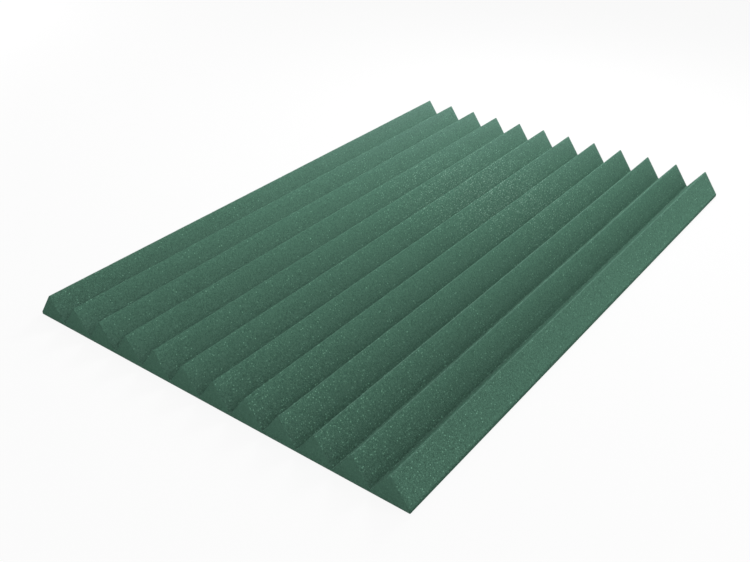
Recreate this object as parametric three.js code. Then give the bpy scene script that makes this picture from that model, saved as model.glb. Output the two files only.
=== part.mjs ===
// A wedge-profile acoustic foam panel with peel-and-stick mounting strips on its back.
// Millimetres. X runs across the ridges, Y runs along them, and Z points up from the
// surface that the panel lies on. The origin is the middle of the underside.

import * as THREE from "three";

// The foam sheet, cut from one block into straight parallel ridges.
const RIDGE_COUNT = 12;
const RIDGE_PITCH = 50.8; // crest to crest
const PANEL_LENGTH = 903; // along the ridges
const CREST_THICKNESS = 38.1; // back face to the top of a ridge
const VALLEY_THICKNESS = 4.4; // back face to the bottom of a valley
const CREST_RADIUS = 1.2; // the cut edge of a ridge is a little blunt
const VALLEY_RADIUS = 0.8;
const ROUND_DIVISIONS = 2; // a round has twice as many straight steps

// The mounting strips: tape bonded to the back, each covered by a paper that peels off.
const STRIP_COUNT = 5;
const TAPE_WIDTH = 25;
const TAPE_THICKNESS = 1;
const TAPE_END_MARGIN = 20; // foam left bare beyond each end of a tape
const LINER_THICKNESS = 0.125;
const LINER_OVERHANG = 1.5; // the liner is this much wider than the tape on each side
const PULL_TAB = 12; // the liner runs on past one end of the tape, for a finger

const panelWidth = RIDGE_COUNT * RIDGE_PITCH;
const foamUnderside = LINER_THICKNESS + TAPE_THICKNESS;
const tapeLength = PANEL_LENGTH - 2 * TAPE_END_MARGIN;

const foamGreen = new THREE.MeshStandardMaterial({
  color: 0x557f6c,
  roughness: 0.95,
  metalness: 0,
});

const tapeWhite = new THREE.MeshStandardMaterial({
  color: 0xe9e9e4,
  roughness: 0.7,
  metalness: 0,
});

const linerPaper = new THREE.MeshStandardMaterial({
  color: 0xd8c9a3,
  roughness: 0.45,
  metalness: 0,
});

// The cross-section that one pass of the cutter leaves, with the back face along the
// shape's X axis. Every flank is a straight line that touches both the round of its crest
// and the round of its valley, and the two long sides are cut down the middle of a valley.
function foamProfile() {
  const halfPitch = RIDGE_PITCH / 2;
  const left = -panelWidth / 2;
  const crestCentre = CREST_THICKNESS - CREST_RADIUS;
  const valleyCentre = VALLEY_THICKNESS + VALLEY_RADIUS;
  const rise = crestCentre - valleyCentre;
  const flankAngle =
    Math.atan2(rise, halfPitch) +
    Math.asin((CREST_RADIUS + VALLEY_RADIUS) / Math.hypot(halfPitch, rise));
  const up = Math.PI / 2;
  const down = -up;

  // The back face is drawn first, then the ridges from left to right. The last side closes it.
  const outline = new THREE.Shape();
  outline.moveTo(-left, 0);
  outline.lineTo(left, 0);
  outline.absarc(left, valleyCentre, VALLEY_RADIUS, down, down + flankAngle, false);
  for (let ridge = 0; ridge < RIDGE_COUNT; ridge++) {
    const crest = left + (ridge + 0.5) * RIDGE_PITCH;
    const lastRidge = ridge === RIDGE_COUNT - 1;
    const valleyEnd = lastRidge ? down : down + flankAngle;
    outline.absarc(crest, crestCentre, CREST_RADIUS, up + flankAngle, up - flankAngle, true);
    outline.absarc(
      crest + halfPitch,
      valleyCentre,
      VALLEY_RADIUS,
      down - flankAngle,
      valleyEnd,
      false,
    );
  }
  return outline;
}

function foamPanel() {
  const geometry = new THREE.ExtrudeGeometry(foamProfile(), {
    depth: PANEL_LENGTH,
    bevelEnabled: false,
    curveSegments: ROUND_DIVISIONS,
  });
  const mesh = new THREE.Mesh(geometry, foamGreen);
  mesh.name = "foam_panel";
  // The sheet is extruded along the shape's own Z, then laid on its back.
  mesh.rotation.x = Math.PI / 2;
  mesh.position.set(0, PANEL_LENGTH / 2, foamUnderside);
  return mesh;
}

// Double-sided tape, whose upper face is stuck to the foam.
function mountingTape(number) {
  const geometry = new THREE.BoxGeometry(TAPE_WIDTH, tapeLength, TAPE_THICKNESS);
  const mesh = new THREE.Mesh(geometry, tapeWhite);
  mesh.name = `mounting_tape_${number}`;
  mesh.position.z = LINER_THICKNESS + TAPE_THICKNESS / 2;
  return mesh;
}

// The paper over the tape's lower face. Its pull tab is at the -Y end.
function releaseLiner(number) {
  const geometry = new THREE.BoxGeometry(
    TAPE_WIDTH + 2 * LINER_OVERHANG,
    tapeLength + PULL_TAB,
    LINER_THICKNESS,
  );
  const mesh = new THREE.Mesh(geometry, linerPaper);
  mesh.name = `release_liner_${number}`;
  mesh.position.set(0, -PULL_TAB / 2, LINER_THICKNESS / 2);
  return mesh;
}

// The strips share the back evenly, with half a space between the outer ones and the sides.
function mountingStrips() {
  const spacing = panelWidth / STRIP_COUNT;
  const strips = new THREE.Group();
  for (let index = 0; index < STRIP_COUNT; index++) {
    const strip = new THREE.Group();
    strip.position.x = (index + 0.5) * spacing - panelWidth / 2;
    strip.add(mountingTape(index + 1), releaseLiner(index + 1));
    strips.add(strip);
  }
  return strips;
}

const acousticPanel = new THREE.Group();
acousticPanel.add(foamPanel(), mountingStrips());

export default acousticPanel;
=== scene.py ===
import itertools
import math

import bmesh
import bpy
import numpy as np
from bpy.props import FloatProperty, FloatVectorProperty, IntProperty, PointerProperty
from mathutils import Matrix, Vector


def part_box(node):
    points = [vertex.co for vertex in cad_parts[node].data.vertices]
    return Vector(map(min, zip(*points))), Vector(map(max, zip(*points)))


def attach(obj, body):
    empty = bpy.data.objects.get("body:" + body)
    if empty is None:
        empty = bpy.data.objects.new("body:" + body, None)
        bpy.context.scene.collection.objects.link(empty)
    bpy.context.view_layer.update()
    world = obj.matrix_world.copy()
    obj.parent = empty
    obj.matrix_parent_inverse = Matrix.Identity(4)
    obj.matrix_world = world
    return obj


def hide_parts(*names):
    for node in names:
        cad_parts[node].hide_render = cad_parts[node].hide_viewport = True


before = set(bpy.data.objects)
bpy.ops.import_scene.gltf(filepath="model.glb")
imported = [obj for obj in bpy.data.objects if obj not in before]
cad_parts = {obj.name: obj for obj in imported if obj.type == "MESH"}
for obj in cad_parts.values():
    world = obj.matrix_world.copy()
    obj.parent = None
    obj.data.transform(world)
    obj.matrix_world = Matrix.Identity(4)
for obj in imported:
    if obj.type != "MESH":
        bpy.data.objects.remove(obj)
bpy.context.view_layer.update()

bl_info = {
    "name": "Acoustic Foam Panel",
    "version": (1, 0, 0),
    "blender": (4, 5, 0),
    "location": "3D View > Sidebar > Foam Panel",
    "description": "Makes a wedge foam panel with its mounting strips, and a plain studio round it",
    "category": "Add Mesh",
}

BODY = "root"
FOAM_NODE = "foam_panel"
TAPE_NODES = sorted(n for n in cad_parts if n.startswith("mounting_tape_"))
LINER_NODES = sorted(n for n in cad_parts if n.startswith("release_liner_"))


def foam_heights():
    """The heights of the foam's underside and of its valley bottoms, read from the frame."""
    heights = sorted({round(v.co.z, 6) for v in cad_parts[FOAM_NODE].data.vertices})
    return heights[0], heights[1]


UNDERSIDE, VALLEY_BOTTOM = foam_heights()


# Shapes

NOISE_TABLE = 32

# Each kind of unevenness has a seed. The number of a strip is added to the last two.
SWELL_SEED = 3
FINE_SWELL_SEED = 4
NIBBLE_SEED = 5
WANDER_SEED = 6
END_SEED = 7
TAPE_SEED = 20
LINER_SEED = 40

# The sawn face swells in slow and in fine lumps, in these shares.
SWELL_SHARE = 0.65
FINE_SWELL_SHARE = 0.35

# Neighbouring ridges read their noise this many metres apart, so that no two are alike.
NIBBLE_STRIDE = 0.37
WANDER_STRIDE = 0.61

# A ridge is nibbled in the topmost of this many equal parts, and always by at least this share.
RIDGE_PARTS = 12
LEAST_NIBBLE = 0.2

# Edges that turn by more than this stay sharp.
FOAM_CORNER = math.radians(45)
STRIP_CORNER = math.radians(50)

TAPE_ROUND_STEPS = 3


def soft_noise(places, lump, seed):
    """Smooth noise from -1 to 1 at each place, in lumps about that many metres across."""
    table = np.random.default_rng(seed).uniform(-1, 1, (NOISE_TABLE,) * 3)
    cells = np.asarray(places) / lump
    low = np.floor(cells).astype(int)
    part = cells - low
    part = part * part * (3 - 2 * part)
    total = np.zeros(cells.shape[:-1])
    for corner in itertools.product((0, 1), repeat=3):
        weight = np.where(corner, part, 1 - part).prod(axis=-1)
        at = (low + corner) % NOISE_TABLE
        total += weight * table[at[..., 0], at[..., 1], at[..., 2]]
    return total


def along(*columns):
    """Places from coordinates that are each an array or one number."""
    return np.stack(np.broadcast_arrays(*columns), axis=-1)


class Shell:
    """The points and faces of a closed mesh in the making."""

    def __init__(self):
        self.points = []
        self.faces = []

    def add_points(self, places):
        """Adds an array of places and returns their numbers in the same arrangement."""
        first = len(self.points)
        self.points += places.reshape(-1, 3).tolist()
        return np.arange(first, len(self.points)).reshape(places.shape[:-1])

    def add_quads(self, *corners):
        """Adds four-sided faces from four arrays of point numbers, one for each corner."""
        self.faces += np.stack(corners, axis=-1).reshape(-1, 4).tolist()

    def lace(self, outer, inner, axis):
        """Adds triangles between two lines of points that both run up the same axis."""
        a = b = 0
        while a < len(outer) - 1 or b < len(inner) - 1:
            if self.ahead(outer, a, axis) <= self.ahead(inner, b, axis):
                self.faces.append([outer[a], outer[a + 1], inner[b]])
                a += 1
            else:
                self.faces.append([outer[a], inner[b + 1], inner[b]])
                b += 1

    def ahead(self, line, at, axis):
        """How far along the axis the next point of a line is."""
        return self.points[line[at + 1]][axis] if at + 1 < len(line) else math.inf


def make_piece(name, shell, finish, sharp_angle):
    """A smooth-shaded object whose faces point outwards and whose real corners stay sharp."""
    mesh = bpy.data.meshes.new(name)
    mesh.from_pydata(shell.points, [], shell.faces)
    shape = bmesh.new()
    shape.from_mesh(mesh)
    bmesh.ops.recalc_face_normals(shape, faces=shape.faces)
    shape.to_mesh(mesh)
    shape.free()
    mesh.shade_smooth()
    mesh.set_sharp_from_angle(angle=sharp_angle)
    mesh.materials.append(finish)
    mesh.validate()
    piece = bpy.data.objects.new(name, mesh)
    bpy.context.scene.collection.objects.link(piece)
    return piece


def swept(name, rings, finish):
    """A closed solid through a row of closed rings, each an array of points in the same order."""
    shell = Shell()
    index = shell.add_points(rings)
    after = np.roll(index, -1, axis=1)
    shell.add_quads(index[:-1], index[1:], after[1:], after[:-1])
    shell.faces += [index[0].tolist(), index[-1, ::-1].tolist()]
    return make_piece(name, shell, finish, STRIP_CORNER)


def ridged_face(s, pitch, left, thickness):
    """Points across the ridged face from left to right, and the way that the foam faces at each."""
    half = pitch / 2
    crest_centre = thickness - s.crest_radius
    valley_centre = VALLEY_BOTTOM + s.valley_radius
    rise = crest_centre - valley_centre
    reach = math.hypot(half, rise)
    flank = math.atan2(rise, half) + math.asin((s.crest_radius + s.valley_radius) / reach)

    turn = np.linspace(0, flank, s.round_steps + 1)
    across, upward = np.sin(turn), np.cos(turn)
    low = along(s.valley_radius * across - half, valley_centre - s.valley_radius * upward)
    high = along(-s.crest_radius * across, crest_centre + s.crest_radius * upward)[::-1]
    share = np.linspace(0, 1, s.flank_steps + 1)[1:-1, None]
    slope = low[-1] + (high[0] - low[-1]) * share
    rising = np.concatenate([low, slope, high])
    lean = np.concatenate([turn, np.full(len(slope), flank), turn[::-1]])
    facing = along(-np.sin(lean), np.cos(lean))

    mirror = np.array([-1, 1])
    ridge = np.concatenate([rising, rising[-2::-1] * mirror])
    ridge_facing = np.concatenate([facing, facing[-2::-1] * mirror])
    middles = [along(number * pitch + half, 0) for number in range(s.ridge_count)]
    spots = np.concatenate([ridge[:1] + middles[0], *(ridge[1:] + middle for middle in middles)])
    ways = np.concatenate([ridge_facing[:1], *[ridge_facing[1:]] * s.ridge_count])
    return spots + along(left, 0), ways


def cut_section(s, low, high, pitch):
    """Points up the left side, over the ridges and down the right side, and the way out at each."""
    face, facing = ridged_face(s, pitch, low.x, high.z)
    climb = np.linspace(UNDERSIDE, VALLEY_BOTTOM, s.end_levels + 1)[:-1]
    section = np.concatenate([along(low.x, climb), face, along(high.x, climb[::-1])])
    side = np.tile((1.0, 0.0), (s.end_levels, 1))
    return section, np.concatenate([-side, facing, side])


def rounded_rows(s, front, back):
    """Places along the ridges, and how far the section shrinks at each to round the ends' edges."""
    turn = np.linspace(0, math.pi / 2, s.round_steps + 1)
    from_end = s.edge_radius * (1 - np.cos(turn))
    edge_inset = s.edge_radius * (1 - np.sin(turn))
    inner = np.linspace(front + s.edge_radius, back - s.edge_radius, s.rows + 1)[1:-1]
    rows = np.concatenate([front + from_end, inner, back - from_end[::-1]])
    inset = np.concatenate([edge_inset, np.zeros(len(inner)), edge_inset[::-1]])
    return rows, inset


def sawn_skin(s, low, high):
    """Points of the ridged face and the long sides, one row of them for each place along."""
    pitch = (high.x - low.x) / s.ridge_count
    levels = s.end_levels
    section, outward = cut_section(s, low, high, pitch)
    rows, inset = rounded_rows(s, low.y, high.y)

    # The section draws in towards the ends. Its two corners beside the face draw in both ways.
    softened = outward.copy()
    softened[levels] += (-1, 0)
    softened[-levels - 1] += (1, 0)
    spots = section[None] - softened[None] * inset[:, None, None]
    x, z = spots[..., 0], spots[..., 1]
    y = np.broadcast_to(rows[:, None], x.shape)
    on_face = np.zeros(len(section))
    on_face[levels:-levels] = 1
    height_share = np.clip((section[:, 1] - VALLEY_BOTTOM) / (high.z - VALLEY_BOTTOM), 0, 1)
    ridge = np.floor((section[:, 0] - low.x) / pitch).clip(0, s.ridge_count - 1)

    # A sawn surface is never quite true: it swells and dips a little, and each crest wanders.
    swell = soft_noise(along(x, y, z), s.relief_lump, SWELL_SEED) * SWELL_SHARE
    swell += soft_noise(along(x, y, z), s.relief_lump / 2, FINE_SWELL_SEED) * FINE_SWELL_SHARE
    push = (swell - 1) / 2 * s.relief * on_face
    nibble = soft_noise(along(ridge[None] * NIBBLE_STRIDE, y, 0), s.crest_lump, NIBBLE_SEED)
    top_part = np.clip(height_share * RIDGE_PARTS - (RIDGE_PARTS - 1), 0, 1)
    push = push - s.crest_wear * (nibble.clip(0, 1) + LEAST_NIBBLE) * top_part
    wander = soft_noise(along(ridge[None] * WANDER_STRIDE, y, 0), s.wander_length, WANDER_SEED)
    x = x + outward[:, 0] * push + s.wander * wander * height_share
    z = z + outward[:, 1] * push
    return along(x, y, z)


def close_end(s, shell, edge, inward):
    """Fills one end under its edge, and returns the points along its foot from left to right."""
    levels = s.end_levels
    tips = edge[levels:-levels]
    x, y, z = np.array([shell.points[tip] for tip in tips[1:-1]]).T[..., None]
    level = np.arange(levels)
    height = UNDERSIDE + (z - UNDERSIDE) * level / levels

    # The end dips like the face, but its foot stays straight, so that the back fits it.
    dip = soft_noise(along(x, y, height), s.relief_lump, END_SEED)
    y = y + inward * s.relief * (dip + 1) / 2 * (level > 0)

    # The long sides have points of their own, which the first and last columns use.
    grid = np.empty((len(tips), levels + 1), int)
    grid[:, levels] = tips
    grid[0, :levels] = edge[:levels]
    grid[-1, :levels] = edge[: -levels - 1 : -1]
    grid[1:-1, :levels] = shell.add_points(along(x, y, height))
    shell.add_quads(grid[:-1, :-1], grid[1:, :-1], grid[1:, 1:], grid[:-1, 1:])
    return grid[:, 0]


def foam_sheet_shell(s):
    """The whole sheet: the ridged face, its sides, both ends and its back."""
    low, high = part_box(FOAM_NODE)
    shell = Shell()
    skin = shell.add_points(sawn_skin(s, low, high))
    shell.add_quads(skin[:-1, :-1], skin[:-1, 1:], skin[1:, 1:], skin[1:, :-1])
    front_foot = close_end(s, shell, skin[0], 1)
    back_foot = close_end(s, shell, skin[-1], -1)

    # The back is a coarse flat grid, laced to the finer points along its four sides.
    margin = s.back_margin
    x = np.linspace(low.x + margin, high.x - margin, s.back_columns + 1)
    y = np.linspace(low.y + margin, high.y - margin, s.back_rows + 1)
    grid = shell.add_points(along(x[:, None], y[None], UNDERSIDE))
    shell.add_quads(grid[:-1, :-1], grid[:-1, 1:], grid[1:, 1:], grid[1:, :-1])
    shell.lace(front_foot, grid[:, 0], 0)
    shell.lace(back_foot, grid[:, -1], 0)
    shell.lace(skin[:, 0], grid[0], 1)
    shell.lace(skin[:, -1], grid[-1], 1)
    return shell


def tape_rings(s, node, seed):
    """Rings along one strip of tape: a flat band with slightly soft, slightly uneven slit edges."""
    low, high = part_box(node)
    half_width, half_height = (high.x - low.x) / 2, (high.z - low.z) / 2
    middle_x, middle_z = (low.x + high.x) / 2, (low.z + high.z) / 2
    r = s.tape_edge_radius
    turn = np.linspace(0, math.pi / 2, TAPE_ROUND_STEPS + 1)
    ring = []
    for quarter, (side_x, side_z) in enumerate([(1, 1), (-1, 1), (-1, -1), (1, -1)]):
        angle = turn + quarter * math.pi / 2
        corner_x = side_x * (half_width - r) + r * np.cos(angle)
        corner_z = side_z * (half_height - r) + r * np.sin(angle)
        ring.append(along(corner_x, corner_z))
    ring = np.concatenate(ring)
    rows = np.linspace(low.y, high.y, s.strip_rows + 1)[:, None]
    side = np.sign(ring[:, 0])
    uneven = soft_noise(along(middle_x + side[None], rows, 0), s.slit_length, seed)
    x = middle_x + ring[None, :, 0] + side * s.slit_wander * (uneven - 1) / 2
    return along(x, rows, middle_z + ring[None, :, 1])


def liner_rings(s, node, tape, seed):
    """Rings along one liner: a thin paper whose free edges lift a little and whose tab curls up."""
    low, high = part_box(node)
    tape_low, tape_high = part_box(tape)
    half_width = (high.x - low.x) / 2
    middle = (low.x + high.x) / 2
    thick = high.z - low.z
    r = s.tab_corner_radius
    steps = np.linspace(0, math.pi / 2, s.tab_steps + 1)
    tab_rows = low.y + r * (1 - np.cos(steps))
    rows = np.concatenate([tab_rows, np.linspace(low.y + r, high.y, s.strip_rows + 1)[1:]])[:, None]
    short = np.clip(1 - (rows - low.y) / r, 0, 1)
    narrowing = r * (1 - np.sqrt(1 - short**2))

    across = np.linspace(-1, 1, s.liner_columns + 1)
    x = middle + across * (half_width - narrowing)
    overhang = 1 - (tape_high.x - tape_low.x) / 2 / half_width
    beyond = np.clip((np.abs(across) - 1 + overhang) / overhang, 0, 1)
    tab = np.clip((tape_low.y - rows) / (tape_low.y - low.y), 0, 1)
    ripple = soft_noise(along(middle + np.sign(across), rows, 0), s.ripple_length, seed)
    lift = s.edge_lift * beyond**2 * (ripple + 1) / 2 + s.tab_lift * tab**2
    under = along(x, rows, low.z + lift)
    over = along(x, rows, low.z + lift + thick)
    return np.concatenate([under, over[:, ::-1]], axis=1)


# Finishes

# The foam. The leans say how far up it has to face to be a sawn ridge and not a clean-cut end,
# and to be a crest with a painted highlight, which also has to lie that high over the valleys.
# A rim says between which distances from its middle, in cells, a pore comes up to the surface.
# An edge is the width over which a band of colour ends, and the core of a glint is the share of
# it that is at full strength.
RIDGED_LEAN = (0.2, 0.5)
CREST_LEAN = (0.63, 0.8)
CREST_RISE = (0.02, 0.03)
PORE_RIM = (0.1, 0.75)
PORE_BUMP = 0.7
CLUMP_BUMP = 0.5
SHADE_TINT_EDGE = 0.002
SIDE_EDGE = 0.0003
END_GLINTS = 0.15
GLINT_CORE = 0.35
FOAM_ROUGHNESS = 0.95
GLINT_SHINE = 0.3
FOAM_IOR = 1.45

# The tape. The shades add up to a number that its colour is multiplied by. Rims, widths and
# depths are in cells.
PIT_RIM = (0.05, 0.6)
PIT_DEPTH = 0.3
PIT_SHADE = 0.08
HAZE_WIDTH = 30
HAZE_SHADE = 0.08
TAPE_SHADE = 0.9
TAPE_ROUGHNESS = 0.55
PIT_ROUGHNESS = 0.2

# The paper. Its shades work like the tape's, and its widths and depths are in fibre lengths.
FIBRE_STRETCH = (1, 0.25, 1)
FLECKS_PER_FIBRE = 5
WRINKLE_WIDTH = 8
PAPER_SHADE = 0.76
FIBRE_SHADE = 0.28
FLECK_SHADE = 0.2
PAPER_ROUGHNESS = 0.26
FIBRE_ROUGHNESS = 0.3
FIBRE_BUMP = 0.25
PAPER_DEPTH = 0.12
PAPER_IOR = 1.5


class Number:
    """A value in a finish. Sums and products of such values add Math nodes to it."""

    def __init__(self, finish, socket):
        self.finish = finish
        self.socket = socket

    def math(self, operation, first, second):
        settings = {"operation": operation}
        return self.finish.node("ShaderNodeMath", settings, {0: first, 1: second})["Value"]

    def __add__(self, other):
        return self.math("ADD", self, other)

    def __radd__(self, other):
        return self.math("ADD", other, self)

    def __sub__(self, other):
        return self.math("SUBTRACT", self, other)

    def __rsub__(self, other):
        return self.math("SUBTRACT", other, self)

    def __mul__(self, other):
        return self.math("MULTIPLY", self, other)

    def __rmul__(self, other):
        return self.math("MULTIPLY", other, self)

    def __truediv__(self, other):
        return self.math("DIVIDE", self, other)

    def __rtruediv__(self, other):
        return self.math("DIVIDE", other, self)

    def __pow__(self, other):
        return self.math("POWER", self, other)

    def __rpow__(self, other):
        return self.math("POWER", other, self)


class Finish:
    """The nodes of one material, or of the world."""

    def __init__(self, holder):
        self.holder = holder
        self.holder.use_nodes = True
        self.tree = self.holder.node_tree
        self.tree.nodes.clear()
        self.places = self.node("ShaderNodeTexCoord")["Object"]

    def node(self, kind, settings=None, sockets=None):
        """Adds a node, gives it its settings and then its sockets, and returns its outputs."""
        made = self.tree.nodes.new(kind)
        for key, value in (settings or {}).items():
            setattr(made, key, value)
        for key, value in (sockets or {}).items():
            socket = made.inputs[key]
            if isinstance(value, Number):
                self.tree.links.new(value.socket, socket)
            elif socket.type == "RGBA" and len(value) == 3:
                socket.default_value = (*value, 1)
            else:
                socket.default_value = value
        return Outputs(self, made)

    def noise(self, lump, detail=2.0, roughness=0.5, stretch=None):
        """Noise from 0 to 1 in lumps about that many metres across."""
        places = self.stretched(stretch) if stretch else self.places
        sockets = {"Vector": places, "Scale": 1 / lump, "Detail": detail, "Roughness": roughness}
        return self.node("ShaderNodeTexNoise", {}, sockets)["Fac"]

    def cells(self, width):
        """The cell pattern of a foam whose cells are about that many metres wide."""
        return self.node("ShaderNodeTexVoronoi", {}, {"Vector": self.places, "Scale": 1 / width})

    def stretched(self, stretch):
        """Places whose coordinates are multiplied one by one."""
        settings = {"operation": "MULTIPLY"}
        return self.node("ShaderNodeVectorMath", settings, {0: self.places, 1: stretch})["Vector"]

    def within(self, value, start, end):
        """0 at the start and before it, 1 at the end and past it, with soft ends between."""
        return self.node(
            "ShaderNodeMapRange",
            {"interpolation_type": "SMOOTHSTEP"},
            {"Value": value, "From Min": start, "From Max": end},
        )["Result"]

    def blend(self, share, first, second):
        """A colour from first to second."""
        return self.node("ShaderNodeMix", {"data_type": "RGBA"}, {0: share, 6: first, 7: second})[2]

    def shaded(self, colour, amount):
        """A colour made darker or lighter by a number round 1."""
        settings = {"operation": "SCALE"}
        return self.node("ShaderNodeVectorMath", settings, {0: colour, "Scale": amount})["Vector"]

    def split(self, value, axis):
        """One coordinate of a place."""
        return self.node("ShaderNodeSeparateXYZ", {}, {0: value})[axis]

    def surface(self, sockets, bump, distance):
        """Ends the finish with one surface shader, whose relief is bump times distance."""
        relief = self.node("ShaderNodeBump", {}, {"Height": bump, "Distance": distance})
        shader = self.node("ShaderNodeBsdfPrincipled", {}, {**sockets, "Normal": relief["Normal"]})
        self.node("ShaderNodeOutputMaterial", {}, {"Surface": shader["BSDF"]})
        return self.holder


class Outputs:
    """The outputs of one node, by name or number."""

    def __init__(self, finish, made):
        self.finish = finish
        self.made = made

    def __getitem__(self, key):
        return Number(self.finish, self.made.outputs[key])


def glints(f, spacing, rarity, size, boost):
    """Painted glints: bright spots on a random grid. Few are strong, and boost makes more of them
    strong.
    """
    grid = f.cells(spacing)
    chance = f.node("ShaderNodeSeparateColor", {}, {0: grid["Color"]})["Red"]
    spot = f.within(grid["Distance"], size, size * GLINT_CORE)
    return spot * chance ** (rarity / boost)


def near(f, x, y, place, radius):
    """1 at a place on the sheet, and softly less out to the radius."""
    off_x, off_y = x - place[0], y - place[1]
    return f.within((off_x * off_x + off_y * off_y) ** 0.5, radius, 0.0) ** 2


def sawn_foam(s):
    """Open-cell foam as the saw leaves it: dark pores, lighter struts and painted glints of cell
    walls.
    """
    f = Finish(bpy.data.materials.new("sawn_foam"))
    x, y, z = (f.split(f.places, axis) for axis in "XYZ")
    off_middle = (x * x) ** 0.5
    upward = f.split(f.node("ShaderNodeNewGeometry")["Normal"], "Z")
    ridged = f.within(upward, *RIDGED_LEAN)

    # The clean-cut ends are smoother than the ridges.
    pores = f.within(f.cells(s.cell_width)["Distance"], *PORE_RIM)
    clumps = f.noise(s.clump_width)
    cloud = f.noise(s.cloud_width)
    grain = (pores - 0.5) * s.pore_contrast + (clumps - 0.5) * s.clump_contrast
    grain = grain * (s.end_grain + ridged * (1 - s.end_grain))
    tone = 1 + grain + (cloud - 0.5) * s.cloud_contrast

    # A painted sheen pales one end, most of all at its left corner. A painted shade tint greys the
    # valleys, painted highlight pales the thin crests on the right, and painted shade darkens the
    # long sides.
    top_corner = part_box(FOAM_NODE)[1]
    edge, crest_height = top_corner.x, top_corner.z
    last_crest = edge - edge / s.ridge_count
    # Painted sheen: the foam's colour pales towards the far end, most of all at its left corner.
    painted_sheen = f.within(y - x * s.sheen_slant, s.sheen_start, s.sheen_end)
    # Painted shade tint: the valley bottoms, which lie in shade, are greyed.
    valley_shade_tint = f.within(z, crest_height, VALLEY_BOTTOM)
    valley_shade_tint = valley_shade_tint * f.within(off_middle, last_crest + SHADE_TINT_EDGE, last_crest)
    # Painted highlight: the rounded crests are paler, more so on the ridges to the right.
    high = f.within(z, *(VALLEY_BOTTOM + rise for rise in CREST_RISE))
    crest = f.within(upward, *CREST_LEAN) * high * f.within(x, s.highlight_start, s.highlight_end)
    # Painted shade: a thin band along each long side, the low wall that stands in shade, is darker.
    side = f.within(off_middle, edge - s.side_reach - SIDE_EDGE, edge - s.side_reach)
    colour = f.blend(painted_sheen, tuple(s.foam_colour), tuple(s.painted_sheen_colour))
    colour = f.blend(valley_shade_tint * ridged, colour, tuple(s.valley_shade_colour))
    colour = f.blend(crest, colour, tuple(s.crest_highlight_colour))

    # Painted glints: the shining walls are densest in a patch behind the middle, where a highlight
    # falls, and at the near right corner. The foam in the patch is painted a little darker round
    # them.
    patch = near(f, x, y, s.patch_place, s.patch_radius)
    corner = near(f, x, y, s.corner_place, s.corner_radius)
    shade = (1 - side * s.side_shade) * (1 - patch * s.patch_shade)
    colour = f.shaded(colour, tone * shade)
    boost = 1 + patch * s.patch_boost + corner * s.corner_boost
    small = glints(f, s.glint_spacing, s.glint_rarity, s.glint_size, boost)
    small = small * (END_GLINTS + ridged * (1 - END_GLINTS))
    shine = f.blend(patch, tuple(s.glint_colour), tuple(s.patch_glint_colour))
    sockets = {
        "Base Color": f.blend(small, colour, shine),
        "Roughness": FOAM_ROUGHNESS - small * GLINT_SHINE,
        "IOR": FOAM_IOR,
        "Specular IOR Level": s.foam_gloss,
    }
    return f.surface(sockets, pores * PORE_BUMP + clumps * CLUMP_BUMP, s.pore_depth)


def tape_core(s):
    """Closed-cell white foam, with the fine pits of its slit edges."""
    f = Finish(bpy.data.materials.new("white_tape_core"))
    pits = f.within(f.cells(s.tape_cell)["Distance"], *PIT_RIM)
    haze = f.noise(s.tape_cell * HAZE_WIDTH, 3.0)
    shade = TAPE_SHADE + pits * PIT_SHADE + haze * HAZE_SHADE
    sockets = {
        "Base Color": f.shaded(tuple(s.tape_colour), shade),
        "Roughness": TAPE_ROUGHNESS + pits * PIT_ROUGHNESS,
        "IOR": FOAM_IOR,
    }
    return f.surface(sockets, pits, s.tape_cell * PIT_DEPTH)


def liner_paper(s):
    """Coated release paper: smooth and faintly fibrous, with a soft shine."""
    f = Finish(bpy.data.materials.new("release_paper"))
    fibres = f.noise(s.fibre_length, 5.0, 0.65, FIBRE_STRETCH)
    fleck = f.noise(s.fibre_length / FLECKS_PER_FIBRE, 3.0, 0.6)
    wrinkle = f.noise(s.fibre_length * WRINKLE_WIDTH, 3.0)
    shade = PAPER_SHADE + fibres * FIBRE_SHADE + fleck * FLECK_SHADE
    sockets = {
        "Base Color": f.shaded(tuple(s.liner_colour), shade),
        "Roughness": PAPER_ROUGHNESS + fibres * FIBRE_ROUGHNESS,
        "IOR": PAPER_IOR,
    }
    return f.surface(sockets, fibres * FIBRE_BUMP + wrinkle, s.fibre_length * PAPER_DEPTH)


# Settings


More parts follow.
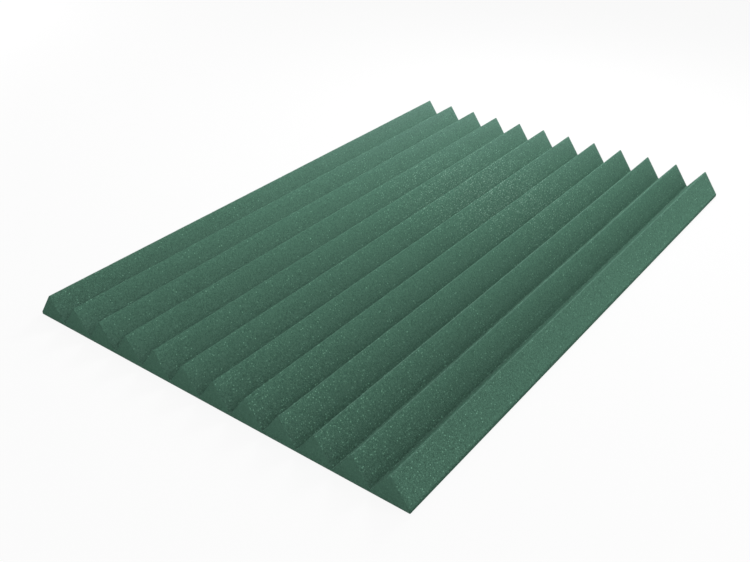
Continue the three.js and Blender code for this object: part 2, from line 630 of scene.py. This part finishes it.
class FoamSheetSettings(bpy.types.PropertyGroup):
    """Sizes and colours of the foam sheet."""

    ridge_count: IntProperty(name="Ridges", description="Ridges side by side", default=12, min=1)
    crest_radius: FloatProperty(
        name="Crest radius", description="How blunt the crests are", default=0.0012, unit="LENGTH"
    )
    valley_radius: FloatProperty(
        name="Valley radius",
        description="The round at the bottom of a valley",
        default=0.0008,
        unit="LENGTH",
    )
    edge_radius: FloatProperty(
        name="End edge radius",
        description="The round of the ends' cut edges",
        default=0.0007,
        unit="LENGTH",
    )
    round_steps: IntProperty(
        name="Round steps", description="Steps in half a round", default=3, min=1
    )
    flank_steps: IntProperty(
        name="Flank steps", description="Steps up each flank", default=10, min=1
    )
    rows: IntProperty(name="Rows", description="Steps along the ridges", default=200, min=1)
    end_levels: IntProperty(name="End levels", description="Steps up each end", default=4, min=1)
    back_margin: FloatProperty(
        name="Back margin",
        description="Width of the laced strip round the back",
        default=0.008,
        unit="LENGTH",
    )
    back_columns: IntProperty(
        name="Back columns", description="Steps across the back", default=48, min=1
    )
    back_rows: IntProperty(name="Back rows", description="Steps along the back", default=72, min=1)
    relief: FloatProperty(
        name="Relief", description="How deep the sawn surface dips", default=0.0002, unit="LENGTH"
    )
    relief_lump: FloatProperty(
        name="Relief size", description="Width of the dips", default=0.024, unit="LENGTH"
    )
    crest_wear: FloatProperty(
        name="Crest wear",
        description="How deep the crests are nibbled",
        default=0.00015,
        unit="LENGTH",
    )
    crest_lump: FloatProperty(
        name="Wear size", description="Length of the nibbled places", default=0.011, unit="LENGTH"
    )
    wander: FloatProperty(
        name="Crest wander",
        description="How far a crest strays sideways",
        default=0.00012,
        unit="LENGTH",
    )
    wander_length: FloatProperty(
        name="Wander length",
        description="Distance over which a crest strays",
        default=0.13,
        unit="LENGTH",
    )
    foam_colour: FloatVectorProperty(
        name="Foam",
        description="Colour of the foam",
        default=(0.097, 0.216, 0.155),
        subtype="COLOR",
        min=0,
        max=1,
    )
    cell_width: FloatProperty(
        name="Cell width", description="Width of a pore", default=0.0011, unit="LENGTH"
    )
    pore_depth: FloatProperty(
        name="Pore depth", description="Depth of a pore", default=0.0005, unit="LENGTH"
    )
    pore_contrast: FloatProperty(
        name="Pore contrast", description="How dark the pores are", default=0.37
    )
    clump_width: FloatProperty(
        name="Clump width",
        description="Width of light and dark clumps",
        default=0.0028,
        unit="LENGTH",
    )
    clump_contrast: FloatProperty(
        name="Clump contrast", description="How much clumps differ", default=0.84
    )
    end_grain: FloatProperty(
        name="End grain", description="Share of that contrast on the ends", default=0.6
    )
    cloud_width: FloatProperty(
        name="Cloud width", description="Width of slow colour changes", default=0.09, unit="LENGTH"
    )
    cloud_contrast: FloatProperty(
        name="Cloud contrast", description="How much the colour drifts", default=0.08
    )
    # The colour of the painted sheen at the far end.
    painted_sheen_colour: FloatVectorProperty(
        name="Faded",
        description="Colour of the faded end",
        default=(0.111, 0.216, 0.169),
        subtype="COLOR",
        min=0,
        max=1,
    )
    # The greyer colour that is painted into the shaded valley bottoms.
    valley_shade_colour: FloatVectorProperty(
        name="Dusty",
        description="Colour of the valley bottoms",
        default=(0.107, 0.216, 0.163),
        subtype="COLOR",
        min=0,
        max=1,
    )
    # The painted highlight on the thin crests, which grows in between the two places below.
    crest_highlight_colour: FloatVectorProperty(
        name="Crest",
        description="Colour of the thin crests",
        default=(0.115, 0.238, 0.178),
        subtype="COLOR",
        min=0,
        max=1,
    )
    highlight_start: FloatProperty(
        name="Pale start",
        description="Where the crests start to be paler",
        default=0.1,
        unit="LENGTH",
    )
    highlight_end: FloatProperty(
        name="Pale end", description="Where the crests are palest", default=0.17, unit="LENGTH"
    )
    side_reach: FloatProperty(
        name="Side reach",
        description="Width of the darker band along each long side",
        default=0.0009,
        unit="LENGTH",
    )
    side_shade: FloatProperty(
        name="Side shade", description="How much darker that band is", default=0.24
    )
    # The painted sheen at the far end runs between these places and starts first on the left.
    sheen_start: FloatProperty(
        name="Fade start", description="Where the fading starts", default=0.03, unit="LENGTH"
    )
    sheen_end: FloatProperty(
        name="Fade end", description="Where the fading is full", default=0.7, unit="LENGTH"
    )
    sheen_slant: FloatProperty(
        name="Fade slant", description="How much the left side fades first", default=0.9
    )
    # Glints are painted highlights of shining cell walls, denser in a patch and at the near corner.
    glint_spacing: FloatProperty(
        name="Glint spacing",
        description="Distance between cell walls that may shine",
        default=0.0024,
        unit="LENGTH",
    )
    glint_rarity: FloatProperty(
        name="Glint rarity", description="How rare the strong glints are", default=18.0
    )
    glint_size: FloatProperty(
        name="Glint size", description="Size of a glint in spacings", default=0.47
    )
    glint_colour: FloatVectorProperty(
        name="Glint",
        description="Colour of shining cell walls",
        default=(0.3, 0.62, 0.45),
        subtype="COLOR",
        min=0,
        max=1,
    )
    patch_glint_colour: FloatVectorProperty(
        name="Patch glint",
        description="Their colour in the patch",
        default=(0.44, 0.69, 0.57),
        subtype="COLOR",
        min=0,
        max=1,
    )
    patch_place: FloatVectorProperty(
        name="Patch",
        description="Middle of the patch with more glints",
        default=(0.015, 0.2),
        size=2,
        subtype="XYZ",
    )
    patch_radius: FloatProperty(
        name="Patch radius", description="Reach of the patch", default=0.33, unit="LENGTH"
    )
    patch_boost: FloatProperty(
        name="Patch boost", description="How many more glints it has", default=15.0
    )
    patch_shade: FloatProperty(
        name="Patch shade", description="How much darker its foam is", default=0.06
    )
    corner_place: FloatVectorProperty(
        name="Corner",
        description="Middle of the corner with more glints",
        default=(0.175, -0.43),
        size=2,
        subtype="XYZ",
    )
    corner_radius: FloatProperty(
        name="Corner radius", description="Reach of the corner", default=0.36, unit="LENGTH"
    )
    corner_boost: FloatProperty(
        name="Corner boost", description="How many more glints it has", default=6.0
    )
    foam_gloss: FloatProperty(
        name="Foam gloss", description="Mirror-like share of the foam", default=0.0
    )


class StripSettings(bpy.types.PropertyGroup):
    """Sizes and colours of the mounting strips."""

    strip_rows: IntProperty(name="Rows", description="Steps along a strip", default=110, min=1)
    tape_edge_radius: FloatProperty(
        name="Tape edge radius",
        description="The round of the tape's edges",
        default=0.00018,
        unit="LENGTH",
    )
    slit_wander: FloatProperty(
        name="Slit wander",
        description="How uneven the slit edges are",
        default=0.0003,
        unit="LENGTH",
    )
    slit_length: FloatProperty(
        name="Slit length", description="Length of the unevenness", default=0.02, unit="LENGTH"
    )
    tape_cell: FloatProperty(
        name="Tape cell", description="Cell width of the tape", default=0.00035, unit="LENGTH"
    )
    tape_colour: FloatVectorProperty(
        name="Tape",
        description="Colour of the tape",
        default=(0.8, 0.8, 0.76),
        subtype="COLOR",
        min=0,
        max=1,
    )
    tab_corner_radius: FloatProperty(
        name="Tab corner radius",
        description="The round of the pull tab's corners",
        default=0.006,
        unit="LENGTH",
    )
    tab_steps: IntProperty(
        name="Tab steps", description="Steps round a tab's corner", default=6, min=1
    )
    liner_columns: IntProperty(
        name="Liner columns", description="Steps across a liner", default=24, min=2
    )
    ripple_length: FloatProperty(
        name="Ripple length",
        description="Length of the ripples of a liner's edge",
        default=0.035,
        unit="LENGTH",
    )
    edge_lift: FloatProperty(
        name="Edge lift",
        description="How far a liner's free edge lifts",
        default=0.0003,
        unit="LENGTH",
    )
    tab_lift: FloatProperty(
        name="Tab lift", description="How far the pull tab curls up", default=0.0006, unit="LENGTH"
    )
    fibre_length: FloatProperty(
        name="Fibre length",
        description="Length of the paper's fibres",
        default=0.0025,
        unit="LENGTH",
    )
    liner_colour: FloatVectorProperty(
        name="Liner",
        description="Colour of the release paper",
        default=(0.66, 0.56, 0.36),
        subtype="COLOR",
        min=0,
        max=1,
    )


class StudioSettings(bpy.types.PropertyGroup):
    """The floor, the light and the camera."""

    floor_width: FloatProperty(
        name="Floor width", description="Side of the floor", default=24.0, unit="LENGTH"
    )
    floor_colour: FloatVectorProperty(
        name="Floor",
        description="Colour that the floor throws back",
        default=(0.55, 0.55, 0.55),
        subtype="COLOR",
        min=0,
        max=1,
    )
    floor_seen: FloatVectorProperty(
        name="Floor seen",
        description="Colour that the camera sees",
        default=(0.95, 0.95, 0.95),
        subtype="COLOR",
        min=0,
        max=1,
    )
    floor_glow: FloatProperty(
        name="Floor glow", description="Share of plain white that the camera sees", default=0.92
    )
    sky: FloatProperty(
        name="Sky", description="Strength of the even light all round", default=0.221
    )
    key_place: FloatVectorProperty(
        name="Key",
        description="Where the main lamp hangs",
        default=(-0.124, 0.742, 0.752),
        subtype="XYZ",
    )
    key_size: FloatProperty(
        name="Key size", description="Side of the main lamp", default=0.45, unit="LENGTH"
    )
    key_power: FloatProperty(
        name="Key power", description="Power of the main lamp", default=7.4, unit="POWER"
    )
    side_place: FloatVectorProperty(
        name="Side",
        description="Where the low side lamp hangs",
        default=(1.903, 0.51, 0.347),
        subtype="XYZ",
    )
    side_size: FloatProperty(
        name="Side size", description="Side of the low side lamp", default=1.0, unit="LENGTH"
    )
    side_power: FloatProperty(
        name="Side power", description="Power of the low side lamp", default=7.1, unit="POWER"
    )
    over_place: FloatVectorProperty(
        name="Over",
        description="Where the high side lamp hangs",
        default=(1.366, 0.366, 1.414),
        subtype="XYZ",
    )
    over_size: FloatProperty(
        name="Over size", description="Side of the high side lamp", default=1.0, unit="LENGTH"
    )
    over_power: FloatProperty(
        name="Over power", description="Power of the high side lamp", default=9.9, unit="POWER"
    )
    fill_place: FloatVectorProperty(
        name="Fill",
        description="Where the front lamp hangs",
        default=(0.0, -1.97, 0.347),
        subtype="XYZ",
    )
    fill_size: FloatProperty(
        name="Fill size", description="Side of the front lamp", default=1.0, unit="LENGTH"
    )
    fill_power: FloatProperty(
        name="Fill power", description="Power of the front lamp", default=8.0, unit="POWER"
    )
    left_place: FloatVectorProperty(
        name="Left",
        description="Where the low left lamp hangs",
        default=(-1.99, 0.0, 0.2),
        subtype="XYZ",
    )
    left_size: FloatProperty(
        name="Left size", description="Side of the left lamp", default=1.0, unit="LENGTH"
    )
    left_power: FloatProperty(
        name="Left power", description="Power of the left lamp", default=19.4, unit="POWER"
    )
    small_place: FloatVectorProperty(
        name="Small",
        description="Where the small lamp over the left side hangs",
        default=(-0.2, -0.05, 0.4),
        subtype="XYZ",
    )
    small_size: FloatProperty(
        name="Small size", description="Side of the small lamp", default=0.3, unit="LENGTH"
    )
    small_power: FloatProperty(
        name="Small power", description="Power of the small lamp", default=0.193, unit="POWER"
    )
    camera_place: FloatVectorProperty(
        name="Camera",
        description="Where the camera stands",
        default=(0.6714, -0.9999, 0.6893),
        subtype="XYZ",
    )
    camera_aim: FloatVectorProperty(
        name="Aim",
        description="The point that the camera looks at",
        default=(0.00635, -0.1131, 0.0011),
        subtype="XYZ",
    )
    lens: FloatProperty(name="Lens", description="Focal length", default=43.53, unit="CAMERA")
    sensor: FloatProperty(name="Sensor", description="Sensor width", default=36.0, unit="CAMERA")


# Steps


class FoamSheetBuild(bpy.types.Operator):
    """Make the foam sheet in place of its plain solid."""

    bl_idname = "foam_panel.foam_sheet"
    bl_label = "Foam sheet"

    def execute(self, context):
        s = context.scene.foam_sheet
        sheet = make_piece("foam_sheet", foam_sheet_shell(s), sawn_foam(s), FOAM_CORNER)
        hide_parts(FOAM_NODE)
        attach(sheet, BODY)
        return {"FINISHED"}


class TapesBuild(bpy.types.Operator):
    """Make the double-sided tapes on the back."""

    bl_idname = "foam_panel.tapes"
    bl_label = "Mounting tapes"

    def execute(self, context):
        s = context.scene.foam_strips
        finish = tape_core(s)
        for number, node in enumerate(TAPE_NODES, 1):
            tape = swept(f"tape_{number}", tape_rings(s, node, TAPE_SEED + number), finish)
            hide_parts(node)
            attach(tape, BODY)
        return {"FINISHED"}


class LinersBuild(bpy.types.Operator):
    """Make the release liners that cover the tapes."""

    bl_idname = "foam_panel.liners"
    bl_label = "Release liners"

    def execute(self, context):
        s = context.scene.foam_strips
        finish = liner_paper(s)
        for number, (node, tape) in enumerate(zip(LINER_NODES, TAPE_NODES), 1):
            rings = liner_rings(s, node, tape, LINER_SEED + number)
            liner = swept(f"liner_{number}", rings, finish)
            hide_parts(node)
            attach(liner, BODY)
        return {"FINISHED"}


WHITE = (1, 1, 1)
LAMPS = ("key", "side", "over", "fill", "left", "small")


def seen_directly(f):
    """1 for rays from the camera, also by way of a mirror or glass, and 0 for those of light."""
    path = f.node("ShaderNodeLightPath")
    rays = path["Is Camera Ray"] + path["Is Glossy Ray"] + path["Is Transmission Ray"]
    return f.node("ShaderNodeClamp", {}, {"Value": rays})["Result"]


def floor_finish(s):
    """A pale floor, which the camera and reflections see as white wherever nothing shades it."""
    f = Finish(bpy.data.materials.new("pale_floor"))
    seen = seen_directly(f)
    colour = f.blend(seen, tuple(s.floor_colour), tuple(s.floor_seen))
    matt = f.node("ShaderNodeBsdfDiffuse", {}, {"Color": colour})
    glow = f.node("ShaderNodeEmission", {}, {"Color": WHITE, "Strength": 1.0})
    sockets = {0: seen * s.floor_glow, 1: matt["BSDF"], 2: glow["Emission"]}
    mixed = f.node("ShaderNodeMixShader", {}, sockets)
    f.node("ShaderNodeOutputMaterial", {}, {"Surface": mixed["Shader"]})
    return f.holder


def light_sky(s):
    """Even light all round, and white where the camera or a reflection sees past the floor."""
    world = bpy.data.worlds.new("studio")
    bpy.context.scene.world = world
    f = Finish(world)
    dim = f.node("ShaderNodeBackground", {}, {"Color": WHITE, "Strength": s.sky})
    white = f.node("ShaderNodeBackground", {}, {"Color": WHITE, "Strength": 1.0})
    sockets = {0: seen_directly(f), 1: dim["Background"], 2: white["Background"]}
    mixed = f.node("ShaderNodeMixShader", {}, sockets)
    f.node("ShaderNodeOutputWorld", {}, {"Surface": mixed["Shader"]})


def softbox(name, place, size, power):
    """A square soft lamp that points at the middle of the panel and isn't seen itself."""
    lamp = bpy.data.lights.new(name, "AREA")
    lamp.shape = "SQUARE"
    lamp.size = size
    lamp.energy = power
    holder = bpy.data.objects.new(name, lamp)
    holder.location = place
    holder.visible_camera = False
    holder.rotation_euler = (-Vector(place)).to_track_quat("-Z", "Y").to_euler()
    bpy.context.scene.collection.objects.link(holder)


class StudioBuild(bpy.types.Operator):
    """Set the floor, the light and the camera."""

    bl_idname = "foam_panel.studio"
    bl_label = "Studio"

    def execute(self, context):
        s = context.scene.foam_studio
        context.scene.view_settings.view_transform = "Standard"
        half = s.floor_width / 2
        corners = [(-half, -half, 0), (half, -half, 0), (half, half, 0), (-half, half, 0)]
        mesh = bpy.data.meshes.new("floor")
        mesh.from_pydata(corners, [], [(0, 1, 2, 3)])
        mesh.materials.append(floor_finish(s))
        floor = bpy.data.objects.new("floor", mesh)
        context.scene.collection.objects.link(floor)
        light_sky(s)
        for lamp in LAMPS:
            softbox(lamp, *(getattr(s, f"{lamp}_{what}") for what in ("place", "size", "power")))

        camera = bpy.data.objects.new("camera", bpy.data.cameras.new("camera"))
        camera.data.sensor_width = s.sensor
        camera.data.lens = s.lens
        camera.location = s.camera_place
        look = Vector(s.camera_aim) - Vector(s.camera_place)
        camera.rotation_euler = look.to_track_quat("-Z", "Y").to_euler()
        context.scene.collection.objects.link(camera)
        context.scene.camera = camera
        return {"FINISHED"}


class FoamPanelSidebar(bpy.types.Panel):
    """Lists the steps and the main settings."""

    bl_idname = "VIEW3D_PT_foam_panel"
    bl_label = "Foam Panel"
    bl_space_type = "VIEW_3D"
    bl_region_type = "UI"
    bl_category = "Foam Panel"

    def draw(self, context):
        for step, group in STEPS:
            box = self.layout.box()
            box.operator(step.bl_idname)
            settings = getattr(context.scene, group)
            for key in settings.__annotations__:
                box.prop(settings, key)


STEPS = [
    (StudioBuild, "foam_studio"),
    (FoamSheetBuild, "foam_sheet"),
    (TapesBuild, "foam_strips"),
    (LinersBuild, "foam_strips"),
]
GROUPS = {
    "foam_sheet": FoamSheetSettings,
    "foam_strips": StripSettings,
    "foam_studio": StudioSettings,
}
CLASSES = [*GROUPS.values(), *(step for step, _ in STEPS), FoamPanelSidebar]


def register():
    for kind in CLASSES:
        bpy.utils.register_class(kind)
    for key, group in GROUPS.items():
        setattr(bpy.types.Scene, key, PointerProperty(type=group))


def unregister():
    for key in GROUPS:
        delattr(bpy.types.Scene, key)
    for kind in reversed(CLASSES):
        bpy.utils.unregister_class(kind)


def main():
    register()
    bpy.ops.foam_panel.studio()
    bpy.ops.foam_panel.foam_sheet()
    bpy.ops.foam_panel.tapes()
    bpy.ops.foam_panel.liners()


if __name__ == "__main__":
    main()
